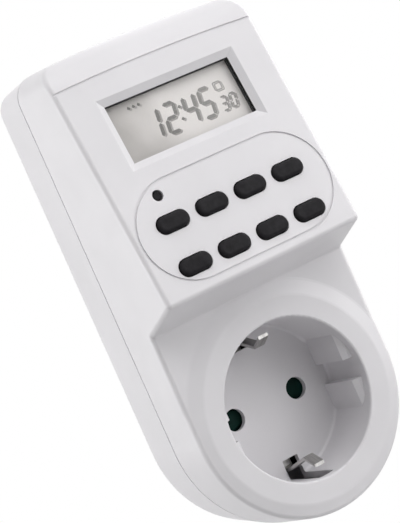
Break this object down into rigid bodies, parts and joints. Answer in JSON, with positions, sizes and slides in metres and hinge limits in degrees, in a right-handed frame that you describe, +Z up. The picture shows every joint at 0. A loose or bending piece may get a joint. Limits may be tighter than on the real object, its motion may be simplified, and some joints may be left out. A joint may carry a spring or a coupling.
{
  "type": "digital plug-in timer",
  "caption": "Plug-in mains timer with a tilted display and key panel over a round earthed socket, and a round two-pin plug with side earth contacts behind.",
  "frame": {"origin": "on the common axis of plug and socket, in the plane of the case's back", "axes": "+X to the right seen from the front, +Y from the front towards the wall along the plug pins, +Z up the case from the socket to the display"},
  "size_m": [0.0584, 0.0802, 0.1263],
  "materials": {
    "case": "satin white moulding with a very fine grain",
    "rear_case": "satin white moulding",
    "window": "clear pane",
    "display": "warm grey display with dark segments",
    "display_frame": "black",
    "keys": "dark charcoal, soft touch",
    "mat": "grey silicone",
    "board": "green laminate",
    "chip": "black moulded",
    "steel": "bright zinc plated",
    "brass": "bright brass",
    "nickel": "nickel plated",
    "shutter": "dark green moulded",
    "carrier": "natural white moulded",
    "relay_cover": "blue moulded",
    "copper": "enamelled copper winding",
    "film": "yellow box",
    "can": "aluminium can in a dark sleeve",
    "glass_body": "black epoxy",
    "ceramic": "blue dipped disc",
    "resistor": "lacquered body",
    "cable": "grey flat cable"
  },
  "bodies": {
    "case": {"backup_cell": "nickel", "case_screws": "steel", "cell_tabs": "nickel", "clock_chip": "chip", "contact_carrier": "carrier", "contact_strips": "mat", "display_frame": "display_frame", "display_glass": "display", "display_window": "window", "earth_strap": "nickel", "film_capacitor": "film", "flat_cable": "cable", "front_case": "case", "key_mat": "mat", "live_contact": "brass", "live_feed": "brass", "live_pin": "nickel", "logic_board": "board", "logic_screws": "steel", "neutral_contact": "brass", "neutral_pin": "nickel", "power_board": "board", "power_screws": "steel", "quartz_crystal": "nickel", "rear_case": "rear_case", "rectifier_diodes": "glass_body", "relay_base": "chip", "relay_coil": "copper", "relay_contact": "brass", "relay_cover": "relay_cover", "relay_yoke": "steel", "resistors": "resistor", "shutter_spring": "steel", "smoothing_capacitor": "can", "varistor": "ceramic"},
    "key_1": {"key_1": "keys"},
    "key_2": {"key_2": "keys"},
    "key_3": {"key_3": "keys"},
    "key_4": {"key_4": "keys"},
    "key_5": {"key_5": "keys"},
    "key_6": {"key_6": "keys"},
    "key_7": {"key_7": "keys"},
    "key_8": {"key_8": "keys"},
    "reset_key": {"reset_key": "keys"},
    "shutter": {"shutter": "shutter"},
    "relay_armature": {"relay_armature": "steel"}
  },
  "joints": [
    {"name": "key_1_press", "type": "slide", "parent": "case", "child": "key_1", "axis": [0, 0.9843, -0.1762], "range_m": [0, 0.0008], "stiffness_N_per_m": 900},
    {"name": "key_2_press", "type": "slide", "parent": "case", "child": "key_2", "axis": [0, 0.9843, -0.1762], "range_m": [0, 0.0008], "stiffness_N_per_m": 900},
    {"name": "key_3_press", "type": "slide", "parent": "case", "child": "key_3", "axis": [0, 0.9843, -0.1762], "range_m": [0, 0.0008], "stiffness_N_per_m": 900},
    {"name": "key_4_press", "type": "slide", "parent": "case", "child": "key_4", "axis": [0, 0.9843, -0.1762], "range_m": [0, 0.0008], "stiffness_N_per_m": 900},
    {"name": "key_5_press", "type": "slide", "parent": "case", "child": "key_5", "axis": [0, 0.9843, -0.1762], "range_m": [0, 0.0008], "stiffness_N_per_m": 900},
    {"name": "key_6_press", "type": "slide", "parent": "case", "child": "key_6", "axis": [0, 0.9843, -0.1762], "range_m": [0, 0.0008], "stiffness_N_per_m": 900},
    {"name": "key_7_press", "type": "slide", "parent": "case", "child": "key_7", "axis": [0, 0.9843, -0.1762], "range_m": [0, 0.0008], "stiffness_N_per_m": 900},
    {"name": "key_8_press", "type": "slide", "parent": "case", "child": "key_8", "axis": [0, 0.9843, -0.1762], "range_m": [0, 0.0008], "stiffness_N_per_m": 900},
    {"name": "reset_key_press", "type": "slide", "parent": "case", "child": "reset_key", "axis": [0, 0.9843, -0.1762], "range_m": [0, 0.0008], "stiffness_N_per_m": 900},
    {"name": "shutter_turn", "type": "hinge", "parent": "case", "child": "shutter", "pos_m": [0, -0.01075, 0], "axis": [0, 1, 0], "range_deg": [0, 38], "stiffness_Nm_per_rad": 0.01, "deforming": ["shutter_spring"]},
    {"name": "armature_pull", "type": "hinge", "parent": "case", "child": "relay_armature", "pos_m": [-0.012, -0.0181, 0.04645], "axis": [-1, 0, 0], "range_deg": [0, 2.5], "stiffness_Nm_per_rad": 0.05}
  ]
}
